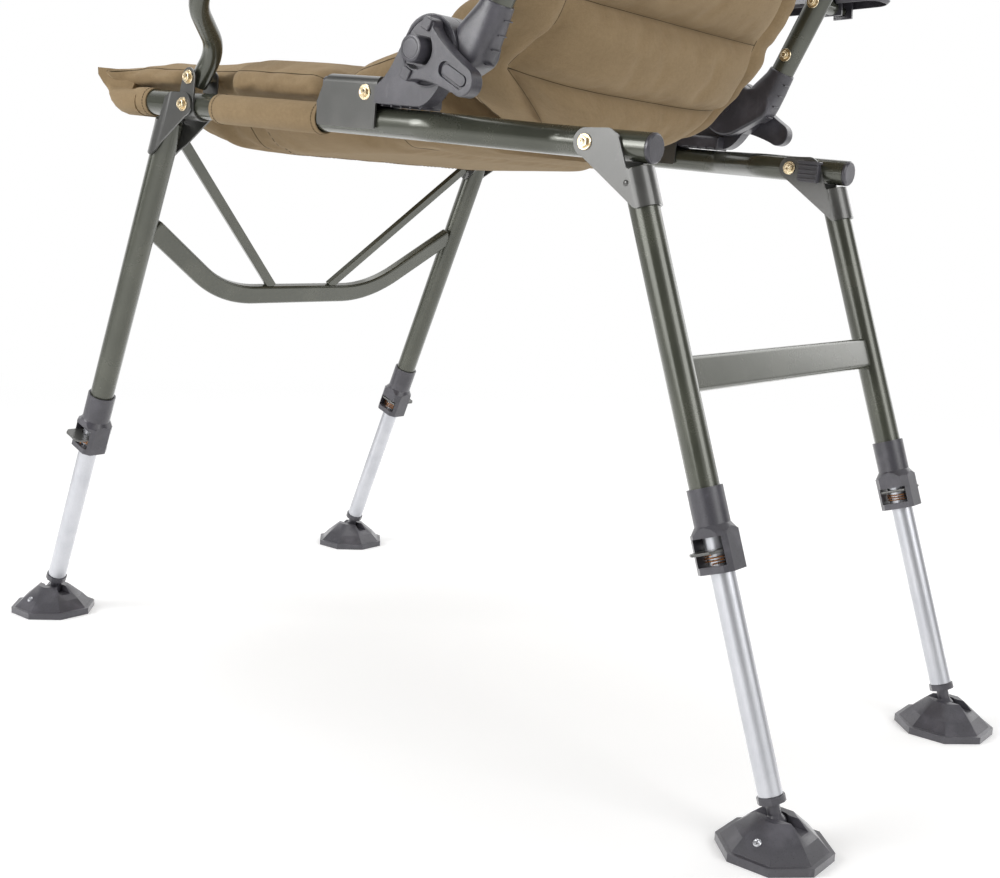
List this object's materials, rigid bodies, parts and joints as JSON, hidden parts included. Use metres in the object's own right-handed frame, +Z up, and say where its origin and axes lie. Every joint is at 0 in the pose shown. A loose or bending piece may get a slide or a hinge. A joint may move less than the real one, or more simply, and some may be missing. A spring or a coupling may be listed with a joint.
{
  "type": "folding reclining chair",
  "caption": "Folding reclining fishing chair: tube frame, telescopic legs with lever clamps and swivel feet, padded seat and back, linked armrests.",
  "frame": {"origin": "centre of the footprint, on the ground plane under the four feet", "axes": "+Z up, the sitter faces -Y, +X is the sitter's left"},
  "size_m": [0.636, 0.996, 1.1932],
  "materials": {
    "olive_tube": "satin dark olive powder coat",
    "olive_plate": "satin dark olive paint on steel plate",
    "aluminium": "bright drawn aluminium",
    "plastic": "dark grey moulded plastic, fine grain",
    "brass": "yellow passivated steel",
    "spring": "copper-coloured spring wire",
    "cloth": "woven khaki polyester with piped seams"
  },
  "bodies": {
    "seat": {"seat_frame_tube": "olive_tube", "seat_cushion": "cloth", "rail_end_plug_left": "plastic", "rail_end_plug_right": "plastic", "armrest_bracket_left": "olive_plate", "armrest_bracket_right": "olive_plate", "hinge_clip_left": "olive_plate", "hinge_clip_right": "olive_plate", "hinge_foot_left": "plastic", "hinge_foot_right": "plastic", "front_pivot_bolt_left": "brass", "front_pivot_bolt_right": "brass", "rear_pivot_bolt_left": "brass", "rear_pivot_bolt_right": "brass", "armrest_pivot_bolt_left": "brass", "armrest_pivot_bolt_right": "brass"},
    "front_legs": {"front_leg_tube_left": "olive_tube", "front_leg_tube_right": "olive_tube", "front_leg_bracket_left": "olive_plate", "front_leg_bracket_right": "olive_plate", "front_brace": "olive_tube", "front_clamp_left": "plastic", "front_clamp_right": "plastic", "front_clamp_spring_left": "spring", "front_clamp_spring_right": "spring"},
    "front_lock_left": {"front_lock_plate_left": "olive_plate"},
    "front_lock_right": {"front_lock_plate_right": "olive_plate"},
    "front_extension_left": {"front_inner_leg_left": "aluminium", "front_ankle_left": "plastic"},
    "front_extension_right": {"front_inner_leg_right": "aluminium", "front_ankle_right": "plastic"},
    "front_foot_left": {"front_foot_left": "plastic"},
    "front_foot_right": {"front_foot_right": "plastic"},
    "rear_legs": {"rear_leg_tube_left": "olive_tube", "rear_leg_tube_right": "olive_tube", "rear_leg_bracket_left": "olive_plate", "rear_leg_bracket_right": "olive_plate", "rear_crossbar": "olive_tube", "rear_clamp_left": "plastic", "rear_clamp_right": "plastic", "rear_clamp_spring_left": "spring", "rear_clamp_spring_right": "spring"},
    "rear_lock_left": {"rear_lock_plate_left": "olive_plate"},
    "rear_lock_right": {"rear_lock_plate_right": "olive_plate"},
    "rear_extension_left": {"rear_inner_leg_left": "aluminium", "rear_ankle_left": "plastic"},
    "rear_extension_right": {"rear_inner_leg_right": "aluminium", "rear_ankle_right": "plastic"},
    "rear_foot_left": {"rear_foot_left": "plastic"},
    "rear_foot_right": {"rear_foot_right": "plastic"},
    "backrest": {"backrest_tube": "olive_tube", "backrest_cushion": "cloth", "hinge_arm_left": "plastic", "hinge_arm_right": "plastic"},
    "knob_left": {"recline_knob_left": "plastic"},
    "knob_right": {"recline_knob_right": "plastic"},
    "upright_left": {"armrest_upright_left": "olive_tube"},
    "upright_right": {"armrest_upright_right": "olive_tube"},
    "armrest_left": {"armrest_left": "plastic"},
    "armrest_right": {"armrest_right": "plastic"}
  },
  "joints": [
    {"name": "recline", "type": "hinge", "parent": "seat", "child": "backrest", "pos_m": [0, 0.12584, 0.61357], "axis": [1, 0, 0], "range_deg": [-30, 100]},
    {"name": "upright_left_swing", "type": "hinge", "parent": "seat", "child": "upright_left", "pos_m": [0.244, -0.19048, 0.60111], "axis": [1, 0, 0], "range_deg": [-30, 100]},
    {"name": "upright_right_swing", "type": "hinge", "parent": "seat", "child": "upright_right", "pos_m": [-0.244, -0.19048, 0.60111], "axis": [1, 0, 0], "range_deg": [-30, 100]},
    {"name": "armrest_left_level", "type": "hinge", "parent": "upright_left", "child": "armrest_left", "pos_m": [0.293, -0.0981, 0.70911], "axis": [1, 0, 0], "range_deg": [-100, 30]},
    {"name": "armrest_right_level", "type": "hinge", "parent": "upright_right", "child": "armrest_right", "pos_m": [-0.293, -0.0981, 0.70911], "axis": [1, 0, 0], "range_deg": [-100, 30]},
    {"name": "knob_left_turn", "type": "hinge", "parent": "seat", "child": "knob_left", "pos_m": [0.27, 0.12584, 0.61357], "axis": [1, 0, 0], "range_deg": [0, 150]},
    {"name": "knob_right_turn", "type": "hinge", "parent": "seat", "child": "knob_right", "pos_m": [-0.27, 0.12584, 0.61357], "axis": [-1, 0, 0], "range_deg": [0, 150]},
    {"name": "front_legs_fold", "type": "hinge", "parent": "seat", "child": "front_legs", "pos_m": [0, -0.1962, 0.57543], "axis": [1, 0, 0], "range_deg": [0, 100]},
    {"name": "rear_legs_fold", "type": "hinge", "parent": "seat", "child": "rear_legs", "pos_m": [0, 0.24084, 0.5464], "axis": [-1, 0, 0], "range_deg": [0, 82]},
    {"name": "front_slide_left", "type": "slide", "parent": "front_legs", "child": "front_extension_left", "axis": [0, 0.3746, 0.9272], "range_m": [0, 0.16]},
    {"name": "front_slide_right", "type": "slide", "parent": "front_legs", "child": "front_extension_right", "axis": [0, 0.3746, 0.9272], "range_m": [0, 0.16]},
    {"name": "rear_slide_left", "type": "slide", "parent": "rear_legs", "child": "rear_extension_left", "axis": [0, -0.3239, 0.9461], "range_m": [0, 0.16]},
    {"name": "rear_slide_right", "type": "slide", "parent": "rear_legs", "child": "rear_extension_right", "axis": [0, -0.3239, 0.9461], "range_m": [0, 0.16]},
    {"name": "front_foot_left_tilt", "type": "hinge", "parent": "front_extension_left", "child": "front_foot_left", "pos_m": [0.244, -0.45458, 0.024], "axis": [1, 0, 0], "range_deg": [-15, 15]},
    {"name": "front_foot_right_tilt", "type": "hinge", "parent": "front_extension_right", "child": "front_foot_right", "pos_m": [-0.244, -0.45458, 0.024], "axis": [1, 0, 0], "range_deg": [-15, 15]},
    {"name": "rear_foot_left_tilt", "type": "hinge", "parent": "rear_extension_left", "child": "rear_foot_left", "pos_m": [0.181, 0.45458, 0.024], "axis": [1, 0, 0], "range_deg": [-15, 15]},
    {"name": "rear_foot_right_tilt", "type": "hinge", "parent": "rear_extension_right", "child": "rear_foot_right", "pos_m": [-0.181, 0.45458, 0.024], "axis": [1, 0, 0], "range_deg": [-15, 15]},
    {"name": "front_lock_left_press", "type": "hinge", "parent": "front_legs", "child": "front_lock_left", "pos_m": [0.2305, -0.37486, 0.22132], "axis": [0, 0.9272, -0.3746], "range_deg": [0, 5], "stiffness_Nm_per_rad": 3, "springref_deg": -5.73, "deforming": ["front_clamp_spring_left"]},
    {"name": "front_lock_right_press", "type": "hinge", "parent": "front_legs", "child": "front_lock_right", "pos_m": [-0.2305, -0.37486, 0.22132], "axis": [0, -0.9272, 0.3746], "range_deg": [0, 5], "stiffness_Nm_per_rad": 3, "springref_deg": -5.73, "deforming": ["front_clamp_spring_right"]},
    {"name": "rear_lock_left_press", "type": "hinge", "parent": "rear_legs", "child": "rear_lock_left", "pos_m": [0.1675, 0.38357, 0.2314], "axis": [0, 0.9461, 0.3239], "range_deg": [0, 5], "stiffness_Nm_per_rad": 3, "springref_deg": -5.73, "deforming": ["rear_clamp_spring_left"]},
    {"name": "rear_lock_right_press", "type": "hinge", "parent": "rear_legs", "child": "rear_lock_right", "pos_m": [-0.1675, 0.38357, 0.2314], "axis": [0, -0.9461, -0.3239], "range_deg": [0, 5], "stiffness_Nm_per_rad": 3, "springref_deg": -5.73, "deforming": ["rear_clamp_spring_right"]}
  ],
  "couplings": [
    {"joint": "upright_left_swing", "follows": "recline", "ratio": 1},
    {"joint": "upright_right_swing", "follows": "recline", "ratio": 1},
    {"joint": "armrest_left_level", "follows": "recline", "ratio": -1},
    {"joint": "armrest_right_level", "follows": "recline", "ratio": -1}
  ]
}
